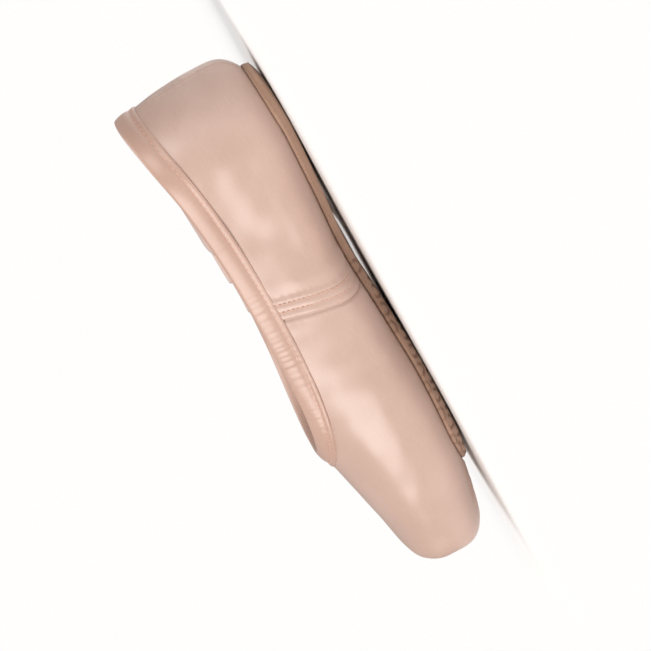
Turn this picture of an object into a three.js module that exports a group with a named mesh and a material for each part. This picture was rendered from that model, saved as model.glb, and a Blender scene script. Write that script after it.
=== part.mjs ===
// A ballet pointe shoe for either foot: a satin upper over a stiff toe box, a leather outsole,
// an insole, a folded binding round the collar and two ankle ribbons that lie loose.
// Millimetres, +Z up. The toe points to -Y, the heel to +Y and the left side to +X.
// The shoe stands on its outsole at z = 0, with the middle of its length and width at the origin.
import * as THREE from 'three';
import { mergeVertices } from 'three/addons/utils/BufferGeometryUtils.js';

// Driving sizes.
const LENGTH = 235; // back of the heel to the platform
const GAP = 0.3; // between pieces that meet
const HEEL_DEPTH = 34; // length of the rounded heel end
const HEEL_ROUNDNESS = 2.15; // 2 is an ellipse seen from above
const TOE_DEPTH = 22; // length over which the box closes to the platform
const TOE_SQUARENESS = 7; // the higher, the flatter the platform and the sharper its rim
const QUARTER_WALL = 1.6; // satin, canvas and lining at heel and sides
const BOX_WALL = 3; // layers of the toe box
const BOX_STARTS = 115; // from here the wall thickens towards the box
const BOX_FULL = 165;

// The last, a row for each section. at: distance from the back of the heel. half: half of the
// width at its widest. bottom, widest and top: heights. lower and upper: how full the curve is
// below and above the widest height (2 is an ellipse, more is boxier). Above the collar the
// sections are those of the foot, so the open sides lean in as they should.
const LAST = [
  { at: 0, half: 28.2, bottom: 2.9, widest: 24, top: 92, lower: 3.3, upper: 2.3 },
  { at: 30, half: 29, bottom: 2.9, widest: 23, top: 88, lower: 3.3, upper: 2.3 },
  { at: 60, half: 29.6, bottom: 4.3, widest: 22, top: 83, lower: 2.9, upper: 2.25 },
  { at: 90, half: 31.6, bottom: 6.2, widest: 22, top: 78, lower: 2.6, upper: 2.2 },
  { at: 118, half: 36.8, bottom: 4.6, widest: 21.5, top: 71, lower: 2.8, upper: 2.2 },
  { at: 143, half: 41.6, bottom: 3, widest: 21.5, top: 63, lower: 3.1, upper: 2.2 },
  { at: 165, half: 42.8, bottom: 2.9, widest: 22, top: 56.4, lower: 3.2, upper: 2.25 },
  { at: 185, half: 40.8, bottom: 3.2, widest: 22.5, top: 51.8, lower: 3, upper: 2.35 },
  { at: 205, half: 36.8, bottom: 5, widest: 23.5, top: 48, lower: 2.7, upper: 2.45 },
  { at: 220, half: 33, bottom: 6.9, widest: 24.5, top: 45.4, lower: 2.5, upper: 2.5 },
  { at: 235, half: 29, bottom: 8.8, widest: 25.5, top: 43, lower: 2.4, upper: 2.5 },
];

// The collar's edge seen from the side, from the back of the heel to the throat of the vamp.
const COLLAR = [
  { at: 0, height: 59.5 },
  { at: 14, height: 56.2 },
  { at: 34, height: 52.4 },
  { at: 62, height: 50 },
  { at: 92, height: 49.4 },
  { at: 118, height: 50 },
  { at: 140, height: 51.6 },
  { at: 156, height: 53.6 },
  { at: 168, height: 55.4 },
];

// The outsole: a leather plate that ends short of heel and platform.
const SOLE_HEEL = 8;
const SOLE_TOE = 206;
const SOLE_HEEL_DEPTH = 20; // length of its rounded heel end
const SOLE_TOE_DEPTH = 30;
const SOLE_THICKNESS = 2.9;
const SOLE_EDGE = 1.5; // thickness where the edge is pared down
const SOLE = [
  { at: 8, half: 19.6 },
  { at: 35, half: 20 },
  { at: 62, half: 17.6 },
  { at: 90, half: 15.2 },
  { at: 115, half: 19.2 },
  { at: 140, half: 26.4 },
  { at: 165, half: 30.6 },
  { at: 185, half: 30.4 },
  { at: 206, half: 27 },
];
const LASTING_MARGIN = 6; // how far the upper reaches under the outsole

// The insole lies on the turned-in edge of the upper.
const INSOLE_HEEL = 7;
const INSOLE_TOE = 200;
const INSOLE_SHARE = 0.74; // of the last's half width
const INSOLE_THICKNESS = 1.5;

// The binding is folded over the collar's edge.
const BINDING_OUTSIDE = 8.5; // height of its outer leg
const BINDING_INSIDE = 6.5;
const BINDING_THICKNESS = 0.8;

// Two satin ribbons for the ankle, sewn inside the sides.
const RIBBON_LENGTH = 500;
const RIBBON_WIDTH = 22;
const RIBBON_THICKNESS = 0.5;
const RIBBON_CUT = 28; // slant of the cut end, degrees
const BEND_STEP = 24; // degrees that one facet of a bend turns

// Each ribbon is a flat strip that only bends about straight lines. start: the middle of its sewn
// end. lean: how far it leans in from upright along the wall. slant: how far it leans towards the
// toe. In the tables, at is the distance along the strip to the middle of a bend, skew the
// angle of the bend's line from square across, turn the angle and radius the size of the bend.
const RIGHT_RIBBON = {
  side: -1,
  start: [-26.9, 33, 24],
  lean: 6.6,
  slant: 6,
  bends: [
    { at: 30.3, skew: -6, turn: 175.6, radius: 3.8 }, // over the collar
    { at: 85.05, skew: -6, turn: -79, radius: 9 }, // onto the floor and straight out
    { at: 214, skew: -10, turn: -180.9, radius: 1.5 }, // then to and fro
    { at: 292, skew: -12, turn: 180.4, radius: 1.5 },
    { at: 370, skew: -10, turn: -180.3, radius: 1.5 },
    { at: 448, skew: -10, turn: 180, radius: 1.5 },
  ],
};
const LEFT_RIBBON = {
  side: 1,
  start: [26.9, 30, 24],
  lean: 6.6,
  slant: -16,
  bends: [
    { at: 26.9, skew: -16, turn: -80, radius: 6 }, // in over the opening
    { at: 81, skew: -16, turn: -85, radius: 5 }, // over the far side of the collar
    { at: 134.5, skew: -16, turn: 82.05, radius: 9 }, // onto the floor
    { at: 161, skew: 38.5, turn: 182, radius: 1.5 }, // folded to run over the other ribbon
    { at: 285, skew: 38.5, turn: -2, radius: 30 },
    { at: 326, skew: 49, turn: -181, radius: 1.5 }, // away from the shoe
    { at: 428, skew: 7.5, turn: 180.5, radius: 1.5 }, // and back
  ],
};

// How fine the faceted solids are.
const HEEL_STEPS = 7;
const SIDE_STEPS = 8;
const FRONT_STEPS = 17;
const SIDE_FROM = HEEL_DEPTH;
const SIDE_TO = 110;
const FAN_CENTRE = 180; // the rays that shape the toe box start here
const WALL_ROWS = 19;
const TURNING = 7; // extra points where a line bends, see evenly()
const FINE_POINTS = 120; // on a line before it is divided evenly
const OUTSOLE_STEPS = 34; // points on half of a plate's edge
const INSOLE_STEPS = 32;
const OUTSOLE_RINGS = [1, 0.92, 0.8, 0.62, 0.36, 0]; // shares of the way out to the edge
const INSOLE_RINGS = [1, 0.85, 0.65, 0.35, 0];
const PARING_STARTS = 0.8; // the same share where the outsole's edge begins to thin
const END_FULLNESS = 0.92; // below 1 the plates' ends are fuller than an ellipse
const STEEPEST = 0.5; // least downward part of the last's normal that the insole allows for
const HALVINGS = 44; // of a length, until it is exact
const SAME_POINT = 1e-3; // points closer than this are one
const ROUNDING = 1e-9; // share of a length that rounding may lose

// Value of one column of a table at a distance along it, on a smooth curve through the rows.
function along(table, column, at) {
  const last = table.length - 1;
  if (at <= table[0].at) return table[0][column];
  if (at >= table[last].at) return table[last][column];
  const k = table.findIndex((row) => row.at > at) - 1;
  const slope = (i, j) => (table[j][column] - table[i][column]) / (table[j].at - table[i].at);
  const width = table[k + 1].at - table[k].at;
  const leave = slope(Math.max(k - 1, 0), k + 1) * width;
  const arrive = slope(k, Math.min(k + 2, last)) * width;
  const t = (at - table[k].at) / width;
  const rise = table[k + 1][column] - table[k][column];
  return (
    table[k][column] + t * leave + t * t * (3 * rise - 2 * leave - arrive)
    + t * t * t * (leave + arrive - 2 * rise)
  );
}

const norm = (a, b, power) => (a ** power + b ** power) ** (1 / power);
const toY = (at) => LENGTH / 2 - at;
const toAt = (y) => LENGTH / 2 - y;
const clamp = THREE.MathUtils.clamp;

// 1 on the surface of the last, less inside it and more outside.
function reach(p) {
  const at = toAt(p.y);
  const value = (column) => along(LAST, column, at);
  const widest = value('widest');
  const above = p.z > widest;
  const height = above ? value('top') - widest : widest - value('bottom');
  const heel = Math.max(0, (HEEL_DEPTH - at) / HEEL_DEPTH);
  const toe = Math.max(0, (at - LENGTH + TOE_DEPTH) / TOE_DEPTH);
  const plan = norm(Math.abs(p.x) / value('half'), heel, HEEL_ROUNDNESS);
  const section = norm(plan, Math.abs(p.z - widest) / height, value(above ? 'upper' : 'lower'));
  return norm(section, toe, TOE_SQUARENESS);
}

// Largest t from 0 to most at which inside(t) still holds.
function edgeOf(inside, most) {
  let low = 0;
  let high = most;
  for (let i = 0; i < HALVINGS; i += 1) {
    const middle = (low + high) / 2;
    if (inside(middle)) low = middle;
    else high = middle;
  }
  return low;
}

// Where a ray that starts inside the last leaves it.
function cast(from, direction) {
  const point = (t) => from.clone().addScaledVector(direction, t);
  return point(edgeOf((t) => reach(point(t)) < 1, LENGTH));
}

function outward(p) {
  const step = 0.01;
  const across = ['x', 'y', 'z'].map((axis) => {
    const more = p.clone();
    const less = p.clone();
    more[axis] += step;
    less[axis] -= step;
    return reach(more) - reach(less);
  });
  return new THREE.Vector3(...across).normalize();
}

function wallAt(y) {
  const share = THREE.MathUtils.smoothstep(toAt(y), BOX_STARTS, BOX_FULL);
  return THREE.MathUtils.lerp(QUARTER_WALL, BOX_WALL, share);
}

// Height of the last's underside.
function underside(x, y) {
  const widest = along(LAST, 'widest', toAt(y));
  return widest - edgeOf((t) => reach(new THREE.Vector3(x, y, widest - t)) < 1, widest);
}

// The line divided into equal lengths. A turn counts as extra length, in mm for each radian, so
// that the points lie closer where the line bends.
function evenly(points, steps, turning = 0) {
  const lengths = [0];
  points.slice(1).forEach((p, i) => {
    const step = p.clone().sub(points[i]);
    const before = points[i].clone().sub(points[Math.max(i - 1, 0)]);
    const turn = before.lengthSq() > 0 ? before.angleTo(step) : 0;
    lengths.push(lengths[i] + step.length() + turning * turn);
  });
  const total = lengths[points.length - 1];
  return Array.from({ length: steps + 1 }, (_, n) => {
    const wanted = (total * n) / steps;
    const k = Math.max(1, lengths.findIndex((l) => l >= wanted * (1 - ROUNDING)));
    const share = (wanted - lengths[k - 1]) / (lengths[k] - lengths[k - 1]);
    return points[k - 1].clone().lerp(points[k], share);
  });
}

// The part of a heel-to-toe line between two distances from the back of the heel.
function between(line, from, to) {
  const crossing = (at) => {
    const k = line.findIndex((p) => toAt(p.y) >= at);
    const share = (at - toAt(line[k - 1].y)) / (line[k - 1].y - line[k].y);
    return line[k - 1].clone().lerp(line[k], share);
  };
  const inner = line.filter((p) => toAt(p.y) > from && toAt(p.y) < to);
  const start = from > toAt(line[0].y) ? [crossing(from)] : [];
  const end = to < toAt(line[line.length - 1].y) ? [crossing(to)] : [];
  return [...start, ...inner, ...end];
}

// A heel-to-toe line divided the same way for every line of the upper.
function divided(line) {
  const heel = evenly(between(line, -1, SIDE_FROM), HEEL_STEPS);
  const side = evenly(between(line, SIDE_FROM, SIDE_TO), SIDE_STEPS);
  const front = evenly(between(line, SIDE_TO, LENGTH + 1), FRONT_STEPS, TURNING);
  return [...heel, ...side.slice(1), ...front.slice(1)];
}

const shares = (count) => Array.from({ length: count + 1 }, (_, i) => i / count);

// Half of an outline with two rounded ends, seen from above, from heel to toe.
function plateOutline(heel, heelDepth, toe, toeDepth, halfAt) {
  const quarter = shares(FINE_POINTS / 3).map((share) => (share * Math.PI) / 2);
  const point = (x, at) => new THREE.Vector3(x, toY(at), 0);
  const back = quarter.map((a) => {
    const at = heel + heelDepth * (1 - Math.cos(a));
    return point(halfAt(at) * Math.sin(a) ** END_FULLNESS, at);
  });
  const straight = toe - toeDepth - heel - heelDepth;
  const middle = shares(FINE_POINTS).map((share) => {
    const at = heel + heelDepth + share * straight;
    return point(halfAt(at), at);
  });
  const front = quarter.map((a) => {
    const at = toe - toeDepth * (1 - Math.sin(a));
    return point(halfAt(at) * Math.cos(a) ** END_FULLNESS, at);
  });
  return [...back, ...middle.slice(1, -1), ...front];
}

function soleOutline(inset) {
  return plateOutline(
    SOLE_HEEL + inset, SOLE_HEEL_DEPTH - inset / 2, SOLE_TOE - inset, SOLE_TOE_DEPTH - inset / 2,
    (at) => along(SOLE, 'half', at) - inset,
  );
}

// Widest line of the last, as seen from above.
function girthLine() {
  const ray = (at, x, forward) => cast(
    new THREE.Vector3(0, toY(at), along(LAST, 'widest', at)), new THREE.Vector3(x, -forward, 0),
  );
  const turn = shares(FINE_POINTS).map((share) => (share * Math.PI) / 2);
  const heel = turn.map((a) => ray(HEEL_DEPTH, Math.sin(a), -Math.cos(a)));
  const side = shares(FINE_POINTS).map((share) => (
    ray(THREE.MathUtils.lerp(HEEL_DEPTH, FAN_CENTRE, share), 1, 0)
  ));
  const toe = turn.map((a) => ray(FAN_CENTRE, Math.cos(a), Math.sin(a)));
  return [...heel, ...side.slice(1, -1), ...toe];
}

// Edge of the opening for the foot, where the last's surface meets the collar's height.
function collarLine() {
  const height = (at) => along(COLLAR, 'height', at);
  const heel = shares(FINE_POINTS).map((share) => {
    const a = (share * Math.PI) / 2;
    const point = (t) => {
      const at = HEEL_DEPTH - t * Math.cos(a);
      return new THREE.Vector3(t * Math.sin(a), toY(at), height(at));
    };
    return point(edgeOf((t) => reach(point(t)) < 1, 2 * HEEL_DEPTH));
  });
  const middle = (at) => new THREE.Vector3(0, toY(at), height(at));
  const throat = edgeOf((at) => reach(middle(at)) < 1 || at < SIDE_TO, LENGTH);
  const side = shares(2 * FINE_POINTS).map((share) => {
    const at = throat - (throat - HEEL_DEPTH) * (1 - share) ** 2;
    const point = (x) => new THREE.Vector3(x, toY(at), height(at));
    return point(edgeOf((x) => reach(point(x)) < 1, LENGTH));
  });
  return [...heel, ...side.slice(1)];
}

// A point inside the last, from which rays reach the whole section beside it.
function insideAt(y) {
  const at = clamp(toAt(y), HEEL_DEPTH, FAN_CENTRE);
  return new THREE.Vector3(0, toY(at), along(LAST, 'widest', at));
}

// A line on the surface of the last through points given by directions from inside it.
function surfaceLine(from, targets, steps) {
  const directions = targets.map((p) => p.clone().sub(from).normalize());
  const curve = new THREE.CatmullRomCurve3(directions, false, 'chordal');
  const fine = shares(FINE_POINTS).map((t) => cast(from, curve.getPoint(t).normalize()));
  return evenly(fine, steps, TURNING).map((p) => cast(from, p.sub(from).normalize()));
}

// The outer surface of the upper: a column of points for each place round the shoe, from the
// turned-in edge under the sole to the collar. Columns go round from the back of the heel over
// the left side to the toe and home over the right side.
function upperColumns() {
  const opening = divided(soleOutline(LASTING_MARGIN));
  opening.forEach((p) => {
    p.z = underside(p.x, p.y);
  });
  const girth = divided(girthLine());
  const collar = divided(collarLine());
  const left = girth.map((p, i) => {
    return surfaceLine(insideAt(p.y), [opening[i], p, collar[i]], WALL_ROWS);
  });
  const onMiddle = (column) => column.map((p) => new THREE.Vector3(0, p.y, p.z));
  left[0] = onMiddle(left[0]);
  left[left.length - 1] = onMiddle(left[left.length - 1]);
  const mirrored = (column) => column.map((p) => new THREE.Vector3(-p.x, p.y, p.z));
  return [...left, ...left.slice(1, -1).reverse().map(mirrored)];
}

function addQuad(positions, a, b, c, d) {
  [a, b, c, a, c, d].forEach((p) => positions.push(p.x, p.y, p.z));
}

// A closed mesh from loops of points, each joined to the next and the last to the first.
function loopedMesh(loops) {
  const positions = [];
  loops.forEach((loop, i) => {
    const next = loops[(i + 1) % loops.length];
    loop.forEach((p, j) => {
      const k = (j + 1) % loop.length;
      addQuad(positions, p, loop[k], next[k], next[j]);
    });
  });
  return solid(positions);
}

// Merges shared points and leaves out triangles that have collapsed to a line.
function solid(positions) {
  const loose = new THREE.BufferGeometry();
  loose.setAttribute('position', new THREE.Float32BufferAttribute(positions, 3));
  const geometry = mergeVertices(loose, SAME_POINT);
  const index = [];
  const old = geometry.index.array;
  for (let i = 0; i < old.length; i += 3) {
    const [a, b, c] = [old[i], old[i + 1], old[i + 2]];
    if (a !== b && b !== c && c !== a) index.push(a, b, c);
  }
  geometry.setIndex(index);
  geometry.computeVertexNormals();
  return geometry;
}

// The wall has the surface of the last outside and keeps its thickness inside.
function upperGeometry(columns) {
  const loops = columns.map((column) => {
    const inner = column.map((p) => p.clone().addScaledVector(outward(p), -wallAt(p.y)));
    return [...column, ...inner.reverse()];
  });
  return loopedMesh(loops);
}

// The U-shaped section of the binding at each column, set off from both sides of the wall.
function bindingGeometry(columns) {
  const near = GAP;
  const far = GAP + BINDING_THICKNESS;
  const edges = columns.map((column) => column[column.length - 1]);
  const loops = edges.map((edge, i) => {
    const next = edges[(i + 1) % edges.length];
    const previous = edges[(i + edges.length - 1) % edges.length];
    const up = next.clone().sub(previous).cross(outward(edge)).normalize();
    const centre = insideAt(edge.y);
    const point = (depth, off, inside = false) => {
      const p = edge.clone().addScaledVector(up, -depth).sub(centre).normalize();
      const onLast = cast(centre, p);
      const distance = inside ? -wallAt(onLast.y) - off : off;
      return onLast.clone().addScaledVector(outward(onLast), distance);
    };
    const over = (off, height, inside) => point(0, off, inside).addScaledVector(up, height);
    return [
      point(BINDING_OUTSIDE, near),
      point(BINDING_OUTSIDE, far),
      point(BINDING_OUTSIDE / 2, far),
      point(0, far),
      over(near, far),
      over(near, far, true),
      point(0, far, true),
      point(BINDING_INSIDE / 2, far, true),
      point(BINDING_INSIDE, far, true),
      point(BINDING_INSIDE, near, true),
      point(BINDING_INSIDE / 2, near, true),
      over(near, near, true),
      over(near, near),
      point(BINDING_OUTSIDE / 2, near),
    ];
  });
  return loopedMesh(loops);
}

// A plate whose outline is mirrored left to right. Rings of points shrink towards its middle
// line, and top and bottom give the heights of its two faces.
function plateGeometry(half, spineFrom, spineTo, rings, top, bottom) {
  const mirrored = half.slice(1, -1).reverse().map((p) => new THREE.Vector3(-p.x, p.y, 0));
  const outline = [...half, ...mirrored];
  const loops = outline.map((edge) => {
    const spine = new THREE.Vector3(0, toY(clamp(toAt(edge.y), spineFrom, spineTo)), 0);
    const ring = rings.map((share) => ({ p: spine.clone().lerp(edge, share), share }));
    const face = (height) => ring.map(({ p, share }) => (
      new THREE.Vector3(p.x, p.y, height(p.x, p.y, share))
    ));
    return { lower: face(bottom), upper: face(top) };
  });
  const positions = [];
  loops.forEach(({ upper, lower }, i) => {
    const next = loops[(i + 1) % loops.length];
    addQuad(positions, upper[0], next.upper[0], next.lower[0], lower[0]);
    for (let j = 0; j < rings.length - 1; j += 1) {
      addQuad(positions, upper[j + 1], next.upper[j + 1], next.upper[j], upper[j]);
      addQuad(positions, lower[j], next.lower[j], next.lower[j + 1], lower[j + 1]);
    }
  });
  return solid(positions);
}

function outsoleGeometry() {
  const lower = (x, y, share) => {
    const thickness = THREE.MathUtils.lerp(
      SOLE_THICKNESS, SOLE_EDGE, THREE.MathUtils.smoothstep(share, PARING_STARTS, 1),
    );
    return Math.max(0, underside(x, y) - GAP - thickness);
  };
  return plateGeometry(
    evenly(soleOutline(0), OUTSOLE_STEPS), SOLE_HEEL + SOLE_HEEL_DEPTH,
    SOLE_TOE - SOLE_TOE_DEPTH, OUTSOLE_RINGS, (x, y) => underside(x, y) - GAP, lower,
  );
}

function insoleGeometry() {
  const outline = plateOutline(
    INSOLE_HEEL, HEEL_DEPTH - INSOLE_HEEL, INSOLE_TOE, SOLE_TOE_DEPTH,
    (at) => along(LAST, 'half', at) * INSOLE_SHARE,
  );
  const rest = (x, y) => {
    const p = new THREE.Vector3(x, y, underside(x, y));
    return p.z + (wallAt(y) + GAP) / Math.max(STEEPEST, -outward(p).z);
  };
  return plateGeometry(
    evenly(outline, INSOLE_STEPS), HEEL_DEPTH, INSOLE_TOE - SOLE_TOE_DEPTH, INSOLE_RINGS,
    (x, y) => rest(x, y) + INSOLE_THICKNESS, rest,
  );
}

// Cross lines of a bent strip, from its sewn end to its cut end: the two ends of each line and
// the direction square to the strip there.
function ribbonLines({ side, start, lean, slant, bends }) {
  const radians = THREE.MathUtils.degToRad;
  const outwardSide = new THREE.Vector3(side, 0, 0).applyAxisAngle(
    new THREE.Vector3(0, 1, 0), -side * radians(lean),
  );
  const rise = new THREE.Vector3(0, -Math.sin(radians(slant)), Math.cos(radians(slant)))
    .applyAxisAngle(new THREE.Vector3(0, 1, 0), -side * radians(lean));
  const across = outwardSide.clone().cross(rise);
  const place = new THREE.Matrix4().makeBasis(rise, across, outwardSide).setPosition(...start);
  const lines = [];
  const addLine = (at, skew, square) => {
    const [left, right] = [RIBBON_WIDTH / 2, -RIBBON_WIDTH / 2].map((w) => (
      new THREE.Vector3(at + w * Math.tan(radians(skew)), w, 0).applyMatrix4(place)
    ));
    lines.push({ left, right, square });
  };
  const normal = () => new THREE.Vector3().setFromMatrixColumn(place, 2);
  addLine(0, 0, normal());
  bends.forEach(({ at, skew, turn, radius }) => {
    const count = Math.max(1, Math.ceil(Math.abs(turn) / BEND_STEP));
    const each = radians(turn) / count;
    const spacing = (radius * Math.abs(each)) / Math.cos(radians(skew));
    for (let i = 0; i < count; i += 1) {
      const here = at + (i - (count - 1) / 2) * spacing;
      const hinge = new THREE.Vector3(here, 0, 0).applyMatrix4(place);
      const axis = new THREE.Vector3(Math.tan(radians(skew)), 1, 0).normalize()
        .transformDirection(place);
      const before = normal();
      const turned = new THREE.Matrix4().makeTranslation(hinge)
        .multiply(new THREE.Matrix4().makeRotationAxis(axis, -each))
        .multiply(new THREE.Matrix4().makeTranslation(hinge.clone().negate()));
      const after = before.clone().transformDirection(turned);
      addLine(here, skew, before.add(after).normalize());
      place.premultiply(turned);
    }
  });
  addLine(RIBBON_LENGTH, RIBBON_CUT, normal());
  return lines;
}

function ribbonGeometry(ribbon) {
  const half = RIBBON_THICKNESS / 2;
  const sections = ribbonLines(ribbon).map(({ left, right, square }) => [
    left.clone().addScaledVector(square, half),
    left.clone().addScaledVector(square, -half),
    right.clone().addScaledVector(square, -half),
    right.clone().addScaledVector(square, half),
  ]);
  const positions = [];
  sections.slice(1).forEach((next, i) => {
    const section = sections[i];
    section.forEach((p, j) => {
      const k = (j + 1) % section.length;
      addQuad(positions, p, next[j], next[k], section[k]);
    });
  });
  addQuad(positions, ...sections[0]);
  addQuad(positions, ...[...sections[sections.length - 1]].reverse());
  return solid(positions);
}

const satin = new THREE.MeshStandardMaterial({ color: 0xe3bfae, roughness: 0.42, metalness: 0 });
const leather = new THREE.MeshStandardMaterial({ color: 0xb2917c, roughness: 0.72, metalness: 0 });
const ribbon = new THREE.MeshStandardMaterial({ color: 0xe6c9bf, roughness: 0.5, metalness: 0 });
const canvas = new THREE.MeshStandardMaterial({ color: 0xe6d6c6, roughness: 0.9, metalness: 0 });

const shoe = new THREE.Group();

function addPiece(name, geometry, material) {
  const mesh = new THREE.Mesh(geometry, material);
  mesh.name = name;
  shoe.add(mesh);
}

const columns = upperColumns();
addPiece('upper', upperGeometry(columns), satin);
addPiece('outsole', outsoleGeometry(), leather);
addPiece('insole', insoleGeometry(), canvas);
addPiece('collar_binding', bindingGeometry(columns), satin);
addPiece('ribbon_left', ribbonGeometry(LEFT_RIBBON), ribbon);
addPiece('ribbon_right', ribbonGeometry(RIGHT_RIBBON), ribbon);

export default shoe;
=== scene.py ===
import math

import bpy
import numpy as np
from mathutils import Matrix, Vector


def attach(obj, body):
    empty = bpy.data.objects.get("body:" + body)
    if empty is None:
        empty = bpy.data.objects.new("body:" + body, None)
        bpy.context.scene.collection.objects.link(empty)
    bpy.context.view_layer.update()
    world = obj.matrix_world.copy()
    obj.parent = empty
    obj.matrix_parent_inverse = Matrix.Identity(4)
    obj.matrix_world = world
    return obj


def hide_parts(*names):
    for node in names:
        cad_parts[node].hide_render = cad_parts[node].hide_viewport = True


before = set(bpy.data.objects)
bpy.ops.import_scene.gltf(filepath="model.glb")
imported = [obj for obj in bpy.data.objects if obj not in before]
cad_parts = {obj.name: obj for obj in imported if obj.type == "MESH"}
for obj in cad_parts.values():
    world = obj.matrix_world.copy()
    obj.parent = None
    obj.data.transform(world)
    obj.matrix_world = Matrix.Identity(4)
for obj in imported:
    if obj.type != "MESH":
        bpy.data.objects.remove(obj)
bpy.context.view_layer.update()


# ---- Camera --------------------------------------------------------------------------------
# Just above the floor, behind and beside the heel, and rolled so that the toe points down to
# the right. It looks at the middle of the shoe's side.
CAMERA_AIM = Vector((0.004, -0.004, 0.027))
CAMERA_DISTANCE = 1.1
CAMERA_AZIMUTH = math.radians(118)
CAMERA_ELEVATION = math.radians(0.9)
CAMERA_ROLL = math.radians(120)
CAMERA_LENS = 150

bpy.ops.object.camera_add()
camera = bpy.context.object
camera.name = "camera"
camera.data.lens = CAMERA_LENS
camera.data.clip_start = 0.01
back = Vector((
    math.sin(CAMERA_AZIMUTH) * math.cos(CAMERA_ELEVATION),
    -math.cos(CAMERA_AZIMUTH) * math.cos(CAMERA_ELEVATION),
    math.sin(CAMERA_ELEVATION),
))
level_right = Vector((math.cos(CAMERA_AZIMUTH), math.sin(CAMERA_AZIMUTH), 0))
level_up = back.cross(level_right)
right = math.cos(CAMERA_ROLL) * level_right - math.sin(CAMERA_ROLL) * level_up
up = math.sin(CAMERA_ROLL) * level_right + math.cos(CAMERA_ROLL) * level_up
camera.matrix_world = (
    Matrix.Translation(CAMERA_AIM + CAMERA_DISTANCE * back)
    @ Matrix((right, up, back)).transposed().to_4x4()
)
bpy.context.scene.camera = camera


# ---- Ribbons -------------------------------------------------------------------------------
# Two ankle ribbons of woven satin, 22 mm wide and 500 mm long, sewn inside the sides and cut
# on a slant so that they don't fray. They are limp: both lie over the right side, folded flat.
RIBBON_LENGTH = 500
RIBBON_WIDTH = 22
RIBBON_THICKNESS = 0.3
SELVEDGE = 0.12  # how much thicker each woven edge is
RIBBON_CUT = 28  # degrees
BEND_STEP = 8  # degrees that one facet of a bend turns
RIBBON_STEP = 4  # most length between two rows of points
RIBBON_POINTS = 13  # across each face
SAG = 5.5  # of the stretch over the opening
FOLD_PRESSED = 0.5  # share of their height to which the folds settle
# Each bend is (distance along the ribbon, skew of the bend's line, turn, radius).
RIBBONS = {
    "right_ankle_ribbon": dict(
        node="ribbon_right", side=-1, start=(-26.9, 33, 24), lean=6.6, slant=6,
        bends=[
            (30.3, -6, 175.6, 3.8), (85.05, -6, -79, 9), (214, -10, -180.9, 1.5),
            (292, -12, 180.4, 1.5), (370, -10, -180.3, 1.5), (448, -10, 180, 1.5),
        ],
        hanging=(36, 78), sag=0, lies_from=92,
    ),
    "left_ankle_ribbon": dict(
        node="ribbon_left", side=1, start=(26.9, 30, 24), lean=6.6, slant=-16,
        bends=[
            (26.9, -16, -80, 6), (81, -16, -85, 5), (134.5, -16, 82.05, 9), (161, 38.5, 182, 1.5),
            (285, 38.5, -2, 30), (326, 49, -181, 1.5), (428, 7.5, 180.5, 1.5),
        ],
        hanging=(31, 77), sag=SAG, lies_from=142,
    ),
}


def turned(axis, angle):
    """The matrix of a turn about an axis."""
    return np.array(Matrix.Rotation(angle, 3, Vector(axis)))


def smoothstep(x, low, high):
    t = np.clip((x - low) / (high - low), 0, 1)
    return t * t * (3 - 2 * t)


def ribbon_lines(side, start, lean, slant, bends):
    """Cross lines of a strip bent about straight lines: where along it, two ends, normal."""
    tilt = turned((0, 1, 0), -side * math.radians(lean))
    outward_side = tilt @ np.array([side, 0.0, 0.0])
    slope = math.radians(slant)
    rise = tilt @ np.array([0, -math.sin(slope), math.cos(slope)])
    axes = np.stack([rise, np.cross(outward_side, rise), outward_side], 1)
    origin = np.array(start, float)
    lines = []

    def add(at, skew, normal):
        ends = [
            origin + axes @ np.array([at + w * math.tan(math.radians(skew)), w, 0])
            for w in (RIBBON_WIDTH / 2, -RIBBON_WIDTH / 2)
        ]
        lines.append((at, ends[0], ends[1], normal / np.linalg.norm(normal)))

    add(0, 0, axes[:, 2])
    for at, skew, turn, radius in bends:
        count = math.ceil(abs(turn) / BEND_STEP)
        each = math.radians(turn) / count
        slant_of_line = math.tan(math.radians(skew))
        spacing = radius * abs(each) / math.cos(math.radians(skew))
        for i in range(count):
            here = at + (i - (count - 1) / 2) * spacing
            hinge = origin + axes @ np.array([here, 0, 0])
            before = axes[:, 2].copy()
            turn_matrix = turned(axes @ np.array([slant_of_line, 1, 0]), -each)
            axes = turn_matrix @ axes
            origin = hinge + turn_matrix @ (origin - hinge)
            add(here, skew, before + axes[:, 2])
    add(RIBBON_LENGTH, RIBBON_CUT, axes[:, 2])
    return lines


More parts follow.
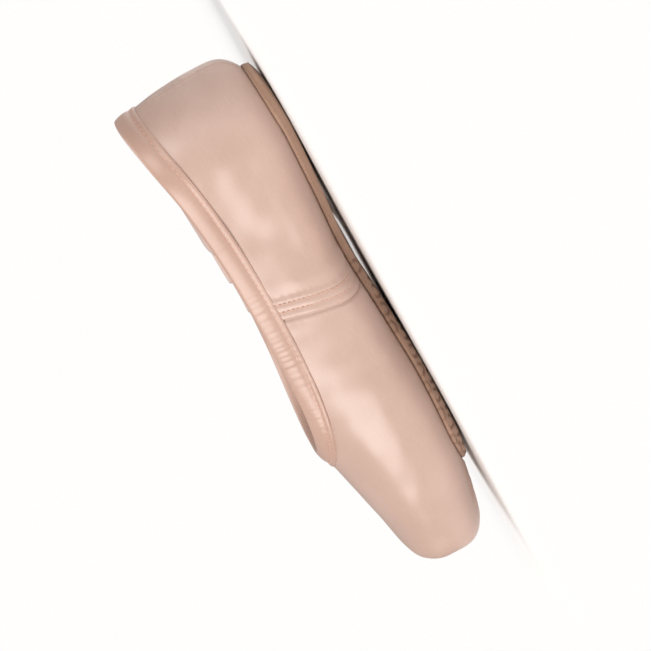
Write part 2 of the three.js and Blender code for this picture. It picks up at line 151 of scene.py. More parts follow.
def skin(name, points, uv, materials, loop=False, slots=None):
    """A closed mesh from rows of points in mm that each go round it once. loop joins the last
    row to the first, and otherwise both ends are capped. slots are the rows' materials."""
    rows, columns = points.shape[:2]
    i, j = np.meshgrid(np.arange(rows - (not loop)), np.arange(columns), indexing="ij")
    i, j = i.ravel(), j.ravel()
    row = np.stack([i, i, i + 1, i + 1], 1)
    column = np.stack([j, j + 1, j + 1, j], 1)
    faces = (row % rows) * columns + column % columns
    flat = points.reshape(-1, 3) / 1000
    a, b, c, d = flat[faces].transpose(1, 0, 2)
    outward_now = (np.cross(a, b) * c).sum() + (np.cross(a, c) * d).sum() > 0
    corners = uv[row, column]
    caps = [] if loop else [
        list(range(columns))[::-1], [(rows - 1) * columns + k for k in range(columns)],
    ]
    if not outward_now:
        faces = faces[:, ::-1]
        corners = corners[:, ::-1]
        caps = [cap[::-1] for cap in caps]
    mesh = bpy.data.meshes.new(name)
    mesh.from_pydata(flat.tolist(), [], faces.tolist() + caps)
    flat_uv = np.zeros((len(mesh.loops), 2))
    flat_uv[: corners.shape[0] * 4] = corners.reshape(-1, 2)
    mesh.uv_layers.new(name="UVMap").data.foreach_set("uv", flat_uv.ravel())
    if slots is not None:
        numbers = np.zeros(len(mesh.polygons), int)
        numbers[: len(i)] = slots[j]
        mesh.polygons.foreach_set("material_index", numbers)
    for material in materials:
        mesh.materials.append(material)
    mesh.shade_smooth()
    piece = bpy.data.objects.new(name, mesh)
    bpy.context.collection.objects.link(piece)
    return piece


def colour(text):
    """An sRGB hex colour as the linear one that a shader takes."""
    parts = [int(text[k:k + 2], 16) / 255 for k in (0, 2, 4)]
    linear = [c / 12.92 if c <= 0.04045 else ((c + 0.055) / 1.055) ** 2.4 for c in parts]
    return (*linear, 1)


def add_node(tree, kind, inputs, **settings):
    """Adds a node, or takes one that is there, with its settings, values and links."""
    node = kind if isinstance(kind, bpy.types.Node) else tree.nodes.new("ShaderNode" + kind)
    for key, value in settings.items():
        setattr(node, key, value)
    for key, value in inputs.items():
        if isinstance(value, bpy.types.NodeSocket):
            tree.links.new(value, node.inputs[key])
        else:
            node.inputs[key].default_value = value
    return node


def woven_satin(name, tone, shade, roughness, sheen, anisotropy, thread=0.3, float_length=6):
    """Polyester satin: long threads lie side by side along the cloth and give a soft, broad
    shine. tone and shade vary it slowly, and thread and float_length are in mm. A thread is
    about 0.1 mm wide in fact, and drawn coarser so that it shows."""
    material = bpy.data.materials.new(name)
    material.use_nodes = True
    tree = material.node_tree
    uv = add_node(tree, "TexCoord", {}).outputs["UV"]
    place = add_node(tree, "TexCoord", {}).outputs["Object"]
    stretch = (1000 / float_length, 1000 / thread, 1)
    along_threads = add_node(tree, "Mapping", {"Vector": uv, "Scale": stretch})
    threads = add_node(
        tree, "TexNoise",
        {"Vector": along_threads.outputs[0], "Scale": 1.0, "Detail": 2.0, "Roughness": 0.6},
        noise_dimensions="2D",
    )
    clouds = add_node(tree, "TexNoise", {"Vector": place, "Scale": 22.0, "Detail": 3.0})
    drift = add_node(
        tree, "MapRange",
        {"Value": clouds.outputs[0], "From Min": 0.35, "From Max": 0.7},
    )
    tinted = add_node(
        tree, "Mix", {0: drift.outputs[0], 6: colour(tone), 7: colour(shade)}, data_type="RGBA",
    )
    fine = add_node(
        tree, "MapRange",
        {"Value": threads.outputs[0], "From Min": 0.3, "From Max": 0.7,
         "To Min": 0.965, "To Max": 1.03},
    )
    toned = add_node(
        tree, "Mix", {0: 1.0, 6: tinted.outputs[2], 7: fine.outputs[0]},
        data_type="RGBA", blend_type="MULTIPLY",
    )
    rough = add_node(
        tree, "MapRange",
        {"Value": threads.outputs[0], "From Min": 0.3, "From Max": 0.7,
         "To Min": roughness - 0.04, "To Max": roughness + 0.05},
    )
    bump = add_node(
        tree, "Bump", {"Height": threads.outputs[0], "Distance": 0.00005, "Strength": 0.3},
    )
    tangent = add_node(tree, "Tangent", {}, direction_type="UV_MAP", uv_map="UVMap")
    add_node(tree, tree.nodes["Principled BSDF"], {
        "Base Color": toned.outputs[2], "Roughness": rough.outputs[0], "Normal": bump.outputs[0],
        "Tangent": tangent.outputs[0], "Anisotropic": anisotropy, "IOR": 1.65,
        "Coat Weight": 0.2, "Coat Roughness": 0.3,
        "Sheen Weight": sheen, "Sheen Roughness": 0.4, "Sheen Tint": colour("FFE9DF"),
    })
    return material


# Ribbon satin is thinner and duller than the shoe's, and a little cooler.
ribbon_satin = woven_satin("ribbon_satin", "D2B7AD", "CAADA2", 0.45, 0.15, 0.3, 0.35, 9)

for name, ribbon in RIBBONS.items():
    lines = ribbon_lines(*(ribbon[k] for k in ("side", "start", "lean", "slant", "bends")))
    shares = np.linspace(0, 1, RIBBON_POINTS)
    edge = RIBBON_THICKNESS / 2 + SELVEDGE * smoothstep(np.abs(2 * shares - 1), 0.86, 0.93)
    edge[[0, -1]] = RIBBON_THICKNESS / 4
    rows, middles, lengths = [], [], []
    for (at, left, right_end, normal), (at2, left2, right2, normal2) in zip(lines, lines[1:]):
        steps = max(1, math.ceil((at2 - at) / RIBBON_STEP))
        last = at2 == RIBBON_LENGTH
        for k in range(steps + last):
            share = k / steps
            here = at + share * (at2 - at)
            a = left + share * (left2 - left)
            b = right_end + share * (right2 - right_end)
            n = normal + share * (normal2 - normal)
            line = a + np.outer(shares, b - a)
            low, high = ribbon["hanging"]
            droop = math.sin(math.pi * min(max((here - low) / (high - low), 0), 1)) ** 2
            line[:, 2] -= ribbon["sag"] * droop
            # A limp ribbon is never quite flat: it lifts a little along its edges.
            wave = 0.2 * np.sin(here / 13 + 2.2 * shares) + 0.12 * np.sin(here / 7.3 - 3 * shares)
            wave = wave + 0.35 * math.sin(here / 29) * (2 * shares - 1) ** 2
            line = line + np.outer(wave, n)
            lying = smoothstep(here, ribbon["lies_from"], ribbon["lies_from"] + 12)
            line[:, 2] -= lying * (1 - FOLD_PRESSED) * np.maximum(line[:, 2] - 0.4, 0)
            line[:, 2] = np.maximum(line[:, 2], edge)
            rows.append(np.concatenate([
                line + np.outer(edge, n), (line - np.outer(edge, n))[::-1],
            ]))
            middles.append((line[0] + line[-1]) / 2)
            lengths.append(here)
    points = np.array(rows)
    points[:, :, 2] = np.maximum(points[:, :, 2], 0.02)
    across = np.concatenate([shares, shares[::-1], shares[:1]]) * RIBBON_WIDTH
    uv = np.stack(np.broadcast_arrays(np.array(lengths)[:, None], across[None]), 2) / 1000
    piece = skin(name, points, uv, [ribbon_satin])
    middles = np.array(middles) / 1000
    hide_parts(ribbon["node"])
    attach(piece, "root")


# ---- Upper ---------------------------------------------------------------------------------
# Peach satin over canvas, sewn from a vamp and two quarters and pulled over the last while the
# toe box is wet with paste. Its edge is gathered in pleats and stuck under the outsole.
LENGTH = 235
GAP = 0.3
HEEL_DEPTH = 34
HEEL_ROUNDNESS = 2.15
TOE_DEPTH = 22
TOE_SQUARENESS = 7
QUARTER_WALL = 1.6
BOX_WALL = 3
BOX_STARTS = 115
BOX_FULL = 165
# A row for each section of the last: distance from the back of the heel, half width, heights
# of its underside, widest place and top, and how full it is below and above the widest place.
LAST = np.array([
    (0, 28.2, 2.9, 24, 92, 3.3, 2.3),
    (30, 29, 2.9, 23, 88, 3.3, 2.3),
    (60, 29.6, 4.3, 22, 83, 2.9, 2.25),
    (90, 31.6, 6.2, 22, 78, 2.6, 2.2),
    (118, 36.8, 4.6, 21.5, 71, 2.8, 2.2),
    (143, 41.6, 3, 21.5, 63, 3.1, 2.2),
    (165, 42.8, 2.9, 22, 56.4, 3.2, 2.25),
    (185, 40.8, 3.2, 22.5, 51.8, 3, 2.35),
    (205, 36.8, 5, 23.5, 48, 2.7, 2.45),
    (220, 33, 6.9, 24.5, 45.4, 2.5, 2.5),
    (235, 29, 8.8, 25.5, 43, 2.4, 2.5),
])
HALF, BOTTOM, WIDEST, TOP, LOWER, UPPER = range(1, 7)
# The collar's edge: distance from the back of the heel, and height.
COLLAR = np.array([
    (0, 59.5), (14, 56.2), (34, 52.4), (62, 50), (92, 49.4),
    (118, 50), (140, 51.6), (156, 53.6), (168, 55.4),
])
SOLE_HEEL = 8
SOLE_TOE = 206
SOLE_HEEL_DEPTH = 20
SOLE_TOE_DEPTH = 30
SOLE = np.array([
    (8, 19.6), (35, 20), (62, 17.6), (90, 15.2), (115, 19.2),
    (140, 26.4), (165, 30.6), (185, 30.4), (206, 27),
])
LASTING_MARGIN = 6
END_FULLNESS = 0.92
SIDE_TO = 110
FAN_CENTRE = 180
TURNING = 7
FINE = 240
OUTER_ROWS = 86
INNER_ROWS = 26
HALVINGS = 40


def along(table, column, at):
    """A column's value at a distance from the heel, on a smooth curve through the rows."""
    ats, values = table[:, 0], table[:, column]
    at = np.clip(at, ats[0], ats[-1])
    last = len(ats) - 1
    k = np.clip(np.searchsorted(ats, at, side="right") - 1, 0, last - 1)
    before, after = np.maximum(k - 1, 0), np.minimum(k + 2, last)
    width = ats[k + 1] - ats[k]
    leave = (values[k + 1] - values[before]) / (ats[k + 1] - ats[before]) * width
    arrive = (values[after] - values[k]) / (ats[after] - ats[k]) * width
    t = (at - ats[k]) / width
    rise = values[k + 1] - values[k]
    return (
        values[k] + t * leave + t**2 * (3 * rise - 2 * leave - arrive)
        + t**3 * (leave + arrive - 2 * rise)
    )


def norm(a, b, power):
    return (a**power + b**power) ** (1 / power)


def reach(p):
    """1 on the surface of the last, less inside it and more outside."""
    at = LENGTH / 2 - p[..., 1]
    widest = along(LAST, WIDEST, at)
    above = p[..., 2] > widest
    height = np.where(above, along(LAST, TOP, at) - widest, widest - along(LAST, BOTTOM, at))
    fullness = np.where(above, along(LAST, UPPER, at), along(LAST, LOWER, at))
    heel = np.maximum(0, (HEEL_DEPTH - at) / HEEL_DEPTH)
    toe = np.maximum(0, (at - LENGTH + TOE_DEPTH) / TOE_DEPTH)
    plan = norm(np.abs(p[..., 0]) / along(LAST, HALF, at), heel, HEEL_ROUNDNESS)
    section = norm(plan, np.abs(p[..., 2] - widest) / height, fullness)
    return norm(section, toe, TOE_SQUARENESS)


def edge_of(inside, most):
    """For each item, the largest t up to most at which inside(t) still holds."""
    low = np.zeros_like(most, dtype=float)
    high = np.array(most, dtype=float)
    for _ in range(HALVINGS):
        middle = (low + high) / 2
        holds = inside(middle)
        low = np.where(holds, middle, low)
        high = np.where(holds, high, middle)
    return low


def cast(start, direction):
    """Where rays that start inside the last leave it."""
    start, direction = np.broadcast_arrays(start, direction)
    most = np.full(start.shape[:-1], float(LENGTH))
    t = edge_of(lambda t: reach(start + t[..., None] * direction) < 1, most)
    return start + t[..., None] * direction


def outward(p):
    steps = 0.01 * np.eye(3)
    slope = np.stack([reach(p + s) - reach(p - s) for s in steps], -1)
    return slope / np.linalg.norm(slope, axis=-1, keepdims=True)


def wall_at(y):
    thickening = smoothstep(LENGTH / 2 - y, BOX_STARTS, BOX_FULL)
    return QUARTER_WALL + (BOX_WALL - QUARTER_WALL) * thickening


def underside(x, y):
    """Height of the last's underside."""
    widest = along(LAST, WIDEST, LENGTH / 2 - y)
    return widest - edge_of(lambda t: reach(np.stack([x, y, widest - t], -1)) < 1, widest)


def evenly(points, shares, turning=0):
    """Points at shares of a line's length, where a turn counts as extra mm for each radian."""
    step = np.diff(points, axis=0)
    length = np.linalg.norm(step, axis=1)
    unit = step / np.maximum(length, 1e-9)[:, None]
    turn = np.arccos(np.clip((unit[1:] * unit[:-1]).sum(1), -1, 1))
    total = np.concatenate([[0], np.cumsum(length + turning * np.concatenate([[0], turn]))])
    wanted = np.asarray(shares) * total[-1]
    return np.stack([np.interp(wanted, total, points[:, k]) for k in range(3)], 1)


def between(line, start, end):
    """The part of a heel-to-toe line between two distances from the back of the heel."""
    at = LENGTH / 2 - line[:, 1]
    inner = line[(at > start) & (at < end)]
    ends = [
        [[np.interp(limit, at, line[:, k]) for k in range(3)]] if at[0] < limit < at[-1] else []
        for limit in (start, end)
    ]
    return np.array([*ends[0], *inner, *ends[1]])


def plate_outline(heel, heel_depth, toe, toe_depth, half_at):
    """Half of an outline with two rounded ends, from heel to toe: distances and half widths."""
    quarter = np.linspace(0, math.pi / 2, FINE // 3)
    back = heel + heel_depth * (1 - np.cos(quarter))
    straight = np.linspace(heel + heel_depth, toe - toe_depth, FINE)[1:-1]
    front = toe - toe_depth * (1 - np.sin(quarter))
    half = np.concatenate([
        half_at(back) * np.sin(quarter) ** END_FULLNESS, half_at(straight),
        half_at(front) * np.maximum(np.cos(quarter), 0) ** END_FULLNESS,
    ])
    return np.concatenate([back, straight, front]), half


def sole_outline(inset):
    return plate_outline(
        SOLE_HEEL + inset, SOLE_HEEL_DEPTH - inset / 2, SOLE_TOE - inset,
        SOLE_TOE_DEPTH - inset / 2, lambda at: along(SOLE, 1, at) - inset,
    )


def inside_at(y):
    """Points inside the last from which rays reach the whole section beside them."""
    at = np.clip(LENGTH / 2 - y, HEEL_DEPTH, FAN_CENTRE)
    return np.stack([np.zeros_like(at), LENGTH / 2 - at, along(LAST, WIDEST, at)], -1)


def girth_line():
    """Widest line of the last, as seen from above."""
    turn = np.linspace(0, math.pi / 2, FINE)
    ats = np.concatenate([
        np.full(FINE, HEEL_DEPTH), np.linspace(HEEL_DEPTH, FAN_CENTRE, FINE)[1:-1],
        np.full(FINE, FAN_CENTRE),
    ])
    x = np.concatenate([np.sin(turn), np.ones(FINE - 2), np.cos(turn)])
    forward = np.concatenate([-np.cos(turn), np.zeros(FINE - 2), np.sin(turn)])
    start = np.stack([0 * ats, LENGTH / 2 - ats, along(LAST, WIDEST, ats)], 1)
    return cast(start, np.stack([x, -forward, 0 * x], 1))


def collar_line():
    """Edge of the opening for the foot, where the last meets the collar's height."""
    def point(x, at):
        return np.stack([x, LENGTH / 2 - at, along(COLLAR, 1, at)], -1)

    turn = np.linspace(0, math.pi / 2, FINE)
    most = np.full(FINE, 2.0 * HEEL_DEPTH)
    t = edge_of(lambda t: reach(point(t * np.sin(turn), HEEL_DEPTH - t * np.cos(turn))) < 1, most)
    heel = point(t * np.sin(turn), HEEL_DEPTH - t * np.cos(turn))
    throat = edge_of(
        lambda at: (reach(point(0 * at, at)) < 1) | (at < SIDE_TO), np.array([float(LENGTH)]),
    )[0]
    at = throat - (throat - HEEL_DEPTH) * (1 - np.linspace(0, 1, 2 * FINE)) ** 2
    side = point(edge_of(lambda x: reach(point(x, at)) < 1, np.full(2 * FINE, 60.0)), at)
    return np.concatenate([heel, side[1:]])


def through(first, middle, last, t):
    """A smooth curve through three directions, at shares t of it."""
    half = np.where(t < 0.5, 0, 1)[None, :, None]
    s = np.where(t < 0.5, 2 * t, 2 * t - 1)[None, :, None]
    first, middle, last = (p[:, None] for p in (first, middle, last))
    p0 = np.where(half == 0, 2 * first - middle, first)
    p1 = np.where(half == 0, first, middle)
    p2 = np.where(half == 0, middle, last)
    p3 = np.where(half == 0, last, 2 * last - middle)
    d0, d1, d2 = (np.linalg.norm(b - a, axis=2, keepdims=True) for a, b in
                  ((p0, p1), (p1, p2), (p2, p3)))
    leave = ((p1 - p0) / d0 - (p2 - p0) / (d0 + d1) + (p2 - p1) / d1) * d1
    arrive = ((p2 - p1) / d1 - (p3 - p1) / (d1 + d2) + (p3 - p2) / d2) * d1
    return (
        p1 + s * leave + s**2 * (3 * (p2 - p1) - 2 * leave - arrive)
        + s**3 * (2 * (p1 - p2) + leave + arrive)
    )


def unit(v):
    return v / np.linalg.norm(v, axis=-1, keepdims=True)


# Places of the columns of points, closest at the seams and where the pleats are.
ats, halves = sole_outline(LASTING_MARGIN)
opening_line = np.stack([halves, LENGTH / 2 - ats, underside(halves, LENGTH / 2 - ats)], 1)
PLEATED = 27  # mm of the edge on each side of the middle
front_of_opening = between(opening_line, SIDE_TO, LENGTH)
spacing = np.linalg.norm(np.diff(front_of_opening, axis=0), axis=1)
from_front = np.concatenate([np.cumsum(spacing[::-1])[::-1], [0]])
pleats_begin = 1 - (PLEATED + 12) / (from_front[0] + 14)
HEEL_SHARES = np.unique([*np.linspace(0, 1, 38), 0.006, 0.012, 0.018, 0.036])
SEAM_SHARE = 0.66
SIDE_SHARES = [*np.linspace(0, SEAM_SHARE, 40), *np.linspace(SEAM_SHARE, 1, 58)[1:]]
FRONT_SHARES = [*np.linspace(0, pleats_begin, 60), *np.linspace(pleats_begin, 1, 76)[1:]]


def divided(line):
    heel = evenly(between(line, -1, HEEL_DEPTH), HEEL_SHARES)
    side = evenly(between(line, HEEL_DEPTH, SIDE_TO), SIDE_SHARES)
    front = evenly(between(line, SIDE_TO, LENGTH + 1), FRONT_SHARES, TURNING)
    return np.concatenate([heel, side[1:], front[1:]])


opening, girth, collar = (divided(line) for line in (opening_line, girth_line(), collar_line()))
centres = inside_at(girth[:, 1])
directions = through(
    unit(opening - centres), unit(girth - centres), unit(collar - centres),
    np.linspace(0, 1, FINE // 2 + 1),
)
fine_columns = cast(centres[:, None], unit(directions))


def column_rows(shares):
    rows = np.stack([evenly(column, shares, TURNING) for column in fine_columns])
    return cast(centres[:, None], unit(rows - centres[:, None]))


def both_sides(half):
    """Columns of the left half, and their mirror images on the way back to the heel."""
    half[[0, -1], :, 0] = 0
    return np.concatenate([half, half[-2:0:-1] * (-1, 1, 1)])


outer = both_sides(column_rows(np.linspace(0, 1, OUTER_ROWS)))
inner_line = both_sides(column_rows(np.linspace(0, 1, INNER_ROWS)))
outer_normal = outward(outer)
inner = inner_line - outward(inner_line) * wall_at(inner_line[..., 1])[..., None]

# The side seam leans towards the heel at its top. The quarter lies over the vamp there, and a
# tape behind it is held by two rows of stitches, so the band between them stands proud.
SEAM_FOOT = 105
SEAM_LEAN = 11 / 50
STITCH_ROWS = (3.4, 6.8)
BAND = 8.6
rng = np.random.default_rng(7)


def ripples(p, wavelength, count=7):
    """Soft random waves over a surface, about -1 to 1."""
    total = 0
    for _ in range(count):
        direction = unit(rng.normal(size=3)) * 2 * math.pi / (wavelength * rng.uniform(0.7, 1.4))
        total = total + np.sin(p @ direction + rng.uniform(0, 2 * math.pi))
    return total / math.sqrt(count)


def behind_seam(p):
    """Distance behind the side seam, towards the heel, measured square to it."""
    at = LENGTH / 2 - p[..., 1]
    return (SEAM_FOOT - SEAM_LEAN * p[..., 2] - at) / math.hypot(1, SEAM_LEAN)


def bell(x, middle, width):
    return np.exp(-(((x - middle) / width) ** 2))


def seam_relief(p):
    """Height of the side seam over the plain surface: the dark step, the band, its stitched
    rows, and the fullness that the stitches push up behind and before it."""
    d = behind_seam(p)
    z = p[..., 2]
    pucker = 0.5 + 0.5 * np.sin(z * 2 * math.pi / 3.1 + 1.7 * np.sin(z / 4.3))
    band = 0.55 * smoothstep(d, -0.05, 0.45) * (1 - smoothstep(d, BAND - 0.9, BAND + 1.4))
    rows = sum(bell(d, row, 0.75) for row in STITCH_ROWS)
    step = -0.85 * bell(d, -0.25, 0.5)
    behind = (0.55 + 0.35 * np.sin(z / 9 + 0.6)) * bell(d, BAND + 5.2, 3.4)
    before = (0.22 + 0.12 * np.sin(z / 6)) * bell(d, -4.5, 3)
    ruffle = 0.16 * pucker * bell(d, BAND + 0.2, 1.6) + 0.1 * (1 - pucker) * bell(d, -1.6, 1.1)
    return band + step - rows * (0.24 + 0.12 * pucker) + behind + before + ruffle


def back_seam_relief(p):
    """The closed seam down the middle of the heel."""
    x, y, z = p[..., 0], p[..., 1], p[..., 2]
    pucker = np.sin(z * 2 * math.pi / 3.4 + np.sin(z / 3))
    seam = -0.38 * bell(x, 0, 0.55) + 0.16 * bell(np.abs(x), 1.5, 0.9) * (1 + 0.5 * pucker)
    return seam * (y > 80)


# Soft creases: distance from the heel and height at both ends, depth, width.
# Minus is a trough. They are the same on both sides but for the small random waves.
CREASES = [
    (88, 14, 46, 40, -0.55, 7), (74, 8, 40, 22, 0.35, 6), (60, 44, 24, 36, -0.4, 6),
    (112, 12, 150, 26, 0.4, 7), (116, 40, 150, 47, -0.35, 5), (128, 10, 176, 14, -0.3, 5),
    (30, 12, 10, 34, -0.35, 6), (186, 34, 214, 30, 0.25, 8),
]


def crease_relief(p):
    at = LENGTH / 2 - p[..., 1]
    z = p[..., 2]
    total = 0
    for at0, z0, at1, z1, height, width in CREASES:
        length = math.hypot(at1 - at0, z1 - z0)
        u, v = (at1 - at0) / length, (z1 - z0) / length
        s = (at - at0) * u + (z - z0) * v
        off = (z - z0) * u - (at - at0) * v
        fades = 1 - smoothstep(s, length * 0.65, length + width)
        ends = smoothstep(s, -width, length * 0.35) * fades
        total = total + height * bell(off, 0, width) * ends
    return total * smoothstep(np.abs(p[..., 0]), 12, 26)


# Nine or so pleats where the satin is gathered under the front of the outsole.
PLEAT = 4.2  # mm from one to the next
PLEAT_HEIGHT = 1.9
PLEAT_CREST = 0.11  # share of a pleat that rises to its crest
PLEAT_FALL = 2.2  # the higher, the faster it falls away behind the crest
PLEAT_REACH = 21
PLEAT_REACH_VARIES = 5
lengths_up = np.concatenate([
    np.zeros((len(outer), 1)), np.cumsum(np.linalg.norm(np.diff(outer, axis=1), axis=2), axis=1),
], axis=1)
past_sole = lengths_up - LASTING_MARGIN
column_at_edge = np.array([
    [np.interp(LASTING_MARGIN, l, c[:, k]) for k in range(3)] for l, c in zip(lengths_up, outer)
])
half_count = len(girth)
edge_steps = np.linalg.norm(np.diff(column_at_edge[:half_count], axis=0), axis=1)
to_middle = np.concatenate([np.cumsum(edge_steps[::-1])[::-1], [0]])
side_of_middle = np.concatenate([to_middle, -to_middle[-2:0:-1]])[:, None]
swing = 0.35 * np.sin(side_of_middle / 3.1) + 0.03 * past_sole * np.sin(side_of_middle / 5)
phase = side_of_middle / PLEAT + swing
share = np.abs(phase) - np.floor(np.abs(phase))
fold = np.minimum(share / PLEAT_CREST, 1) * (1 - share) ** PLEAT_FALL
reach_of_pleat = PLEAT_REACH + PLEAT_REACH_VARIES * np.sin(np.floor(phase) * 2.4)
pleating = smoothstep(past_sole, -0.6, 2.2)
pleating = pleating * (1 - smoothstep(past_sole, reach_of_pleat * 0.5, reach_of_pleat + 6))
pleating = pleating * (1 - smoothstep(np.abs(side_of_middle), 19, PLEATED))
pleats = PLEAT_HEIGHT * (fold - 0.3) * pleating
# Painted light for the pleats: a painted highlight on each crest and painted shade in the furrow
# before the next.
pleat_painted_light = pleating * (smoothstep(fold, 0.62, 0.95) - smoothstep(share, 0.7, 0.95))


def relief(p):
    return seam_relief(p) + back_seam_relief(p) + crease_relief(p)


from_collar = lengths_up[:, -1:] - lengths_up
calm = smoothstep(from_collar, 2, 9) * 0.75 + 0.25
clear_of_sole = smoothstep(past_sole, -1, 5)
surface = relief(outer) * calm * clear_of_sole
surface = surface + (0.2 * ripples(outer, 34) + 0.09 * ripples(outer, 13)) * calm * clear_of_sole
surface = surface + pleats
outer_skin = outer + outer_normal * surface[..., None]

upper_loops = np.concatenate([outer_skin, inner[:, ::-1]], axis=1)
round_girth = np.concatenate([[0], np.cumsum(np.linalg.norm(np.diff(
    np.concatenate([both_sides(girth[:, None].copy())[:, 0], girth[:1]]), axis=0), axis=1))])
closed = np.concatenate([upper_loops, upper_loops[:, :1]], axis=1)
round_loop = np.concatenate([
    np.zeros((len(closed), 1)), np.cumsum(np.linalg.norm(np.diff(closed, axis=1), axis=2), axis=1),
], axis=1)
round_loop = np.concatenate([round_loop, round_loop[:1]])
upper_uv = np.stack([
    np.broadcast_to(round_girth[:, None], round_loop.shape), round_loop,
], 2) / 1000

# The shoe's own satin: shiny polyester, peach, with a slow drift of tone over the cloth.
peach_satin = woven_satin("peach_satin", "C8AA9D", "BFA092", 0.34, 0.1, 0.45)

# The pleats get a painted highlight on their crests and painted shade in the furrows between them,
# over and above the relief.
FURROW_PAINTED_SHADE = 0.62
CREST_PAINTED_HIGHLIGHT = 1.32
tree = peach_satin.node_tree
satin_tone = tree.nodes["Principled BSDF"].inputs["Base Color"].links[0].from_socket
painted_pleat_light_here = add_node(tree, "Attribute", {}, attribute_name="pleat_painted_light")
painted_pleat_light_factor = add_node(
    tree, "MapRange",
    {"Value": painted_pleat_light_here.outputs["Fac"], "From Min": -1.0, "To Min": FURROW_PAINTED_SHADE,
     "To Max": CREST_PAINTED_HIGHLIGHT},
)
satin_with_painted_pleat_light = add_node(
    tree, "Mix", {0: 1.0, 6: satin_tone, 7: painted_pleat_light_factor.outputs[0]},
    data_type="RGBA", blend_type="MULTIPLY",
)
add_node(tree, tree.nodes["Principled BSDF"], {"Base Color": satin_with_painted_pleat_light.outputs[2]})

# Plain cotton drill inside: matt and slightly yellow beside the satin. Its weave is drawn
# twice as coarse as the real 0.4 mm.
lining_cotton = bpy.data.materials.new("lining_cotton")
lining_cotton.use_nodes = True
tree = lining_cotton.node_tree
uv_here = add_node(tree, "TexCoord", {}).outputs["UV"]
warp = add_node(
    tree, "TexWave", {"Vector": uv_here, "Scale": 390.0, "Distortion": 0.4, "Detail Scale": 3.0},
    bands_direction="X",
)
weft = add_node(
    tree, "TexWave", {"Vector": uv_here, "Scale": 390.0, "Distortion": 0.4, "Detail Scale": 3.0},
    bands_direction="Y",
)
weave = add_node(tree, "Math", {0: warp.outputs[1], 1: weft.outputs[1]}, operation="MULTIPLY")
spots = add_node(
    tree, "TexNoise",
    {"Vector": add_node(tree, "TexCoord", {}).outputs["Object"], "Scale": 60.0, "Detail": 4.0},
)
cotton = add_node(
    tree, "Mix", {0: spots.outputs[0], 6: colour("F0E4DA"), 7: colour("E4D3C6")}, data_type="RGBA",
)
thread_bump = add_node(
    tree, "Bump", {"Height": weave.outputs[0], "Distance": 0.0001, "Strength": 0.5},
)
add_node(tree, tree.nodes["Principled BSDF"], {
    "Base Color": cotton.outputs[2], "Roughness": 0.9, "Normal": thread_bump.outputs[0],
    "Sheen Weight": 0.2, "Specular IOR Level": 0.3,
})

upper_slots = np.where(np.arange(OUTER_ROWS + INNER_ROWS) < OUTER_ROWS, 0, 1)
upper = skin(
    "satin_upper", upper_loops, upper_uv, [peach_satin, lining_cotton], loop=True,
    slots=upper_slots,
)
# The pleats' painted highlight and shade go on the upper's outer points, none on the lining.
painted_pleat_light_values = np.zeros(upper_loops.shape[:2])
painted_pleat_light_values[:, :OUTER_ROWS] = pleat_painted_light
attribute = upper.data.attributes.new("pleat_painted_light", "FLOAT", "POINT")
attribute.data.foreach_set("value", painted_pleat_light_values.ravel())
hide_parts("upper")
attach(upper, "root")


# ---- Side seam stitches --------------------------------------------------------------------
# Two rows of short, close machine stitches in matching thread on each side, over the tape
# behind the seam. Each stitch is a small rounded bar, and a row is one joined mesh.
STITCH = 1.45  # mm, thread entering to thread leaving
STITCH_GAP = 0.5
THREAD = 0.5

# Polyester thread: a twisted cord with its own soft shine, a little deeper than the satin.
peach_thread = bpy.data.materials.new("peach_thread")
peach_thread.use_nodes = True
tree = peach_thread.node_tree
place = add_node(tree, "TexCoord", {}).outputs["Object"]
fuzz = add_node(tree, "TexNoise", {"Vector": place, "Scale": 2500.0, "Detail": 2.0})
thread_tone = add_node(
    tree, "Mix", {0: fuzz.outputs[0], 6: colour("E3B8A4"), 7: colour("CFA18D")}, data_type="RGBA",
)
add_node(tree, tree.nodes["Principled BSDF"], {
    "Base Color": thread_tone.outputs[2], "Roughness": 0.5, "Sheen Weight": 0.3,
})

bpy.ops.object.select_all(action="DESELECT")
bpy.ops.mesh.primitive_uv_sphere_add(segments=6, ring_count=5, radius=0.5)
pattern = bpy.context.object
bpy.ops.object.mode_set(mode="EDIT")
bpy.ops.mesh.select_all(action="SELECT")
bpy.ops.transform.rotate(value=math.pi / 2, orient_axis="Y", center_override=(0, 0, 0))
bpy.ops.object.mode_set(mode="OBJECT")
# The sphere's points and faces come in an order that varies from run to run, so they are
# sorted, each face starting at its lowest point.
sphere_points = np.array([v.co for v in pattern.data.vertices])
point_order = np.lexsort(np.round(sphere_points, 5).T)
new_place = np.argsort(point_order).tolist()
STITCH_POINTS = sphere_points[point_order]
STITCH_FACES = []
for face in pattern.data.polygons:
    turned_face = [new_place[v] for v in face.vertices]
    first = turned_face.index(min(turned_face))
    STITCH_FACES.append(turned_face[first:] + turned_face[:first])
STITCH_FACES.sort()
bpy.data.objects.remove(pattern)


def sew(name, places, along_thread, normals, length, thickness):
    """One joined mesh of equal stitches, in mm, each lying along the surface at its place."""
    along_thread = unit(along_thread - normals * (along_thread * normals).sum(1, keepdims=True))
    across = np.cross(normals, along_thread)
    axes = np.stack([along_thread * length, across * thickness, normals * thickness], 1)
    points = np.einsum("pk,nkc->npc", STITCH_POINTS, axes) + places[:, None]
    count = len(STITCH_POINTS)
    faces = [[k * count + v for v in face] for k in range(len(places)) for face in STITCH_FACES]
    mesh = bpy.data.meshes.new(name)
    mesh.from_pydata((points.reshape(-1, 3) / 1000).tolist(), [], faces)
    mesh.materials.append(peach_thread)
    mesh.shade_smooth()
    piece = bpy.data.objects.new(name, mesh)
    bpy.context.collection.objects.link(piece)
    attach(piece, "root")
    return piece


def on_side(at, z, side):
    """Points on the side of the last at a distance from the heel and a height."""
    y = LENGTH / 2 - at
    x = edge_of(lambda x: reach(np.stack([x, y, z], -1)) < 1, np.full_like(y, 60.0))
    return np.stack([side * x, y, z], -1)


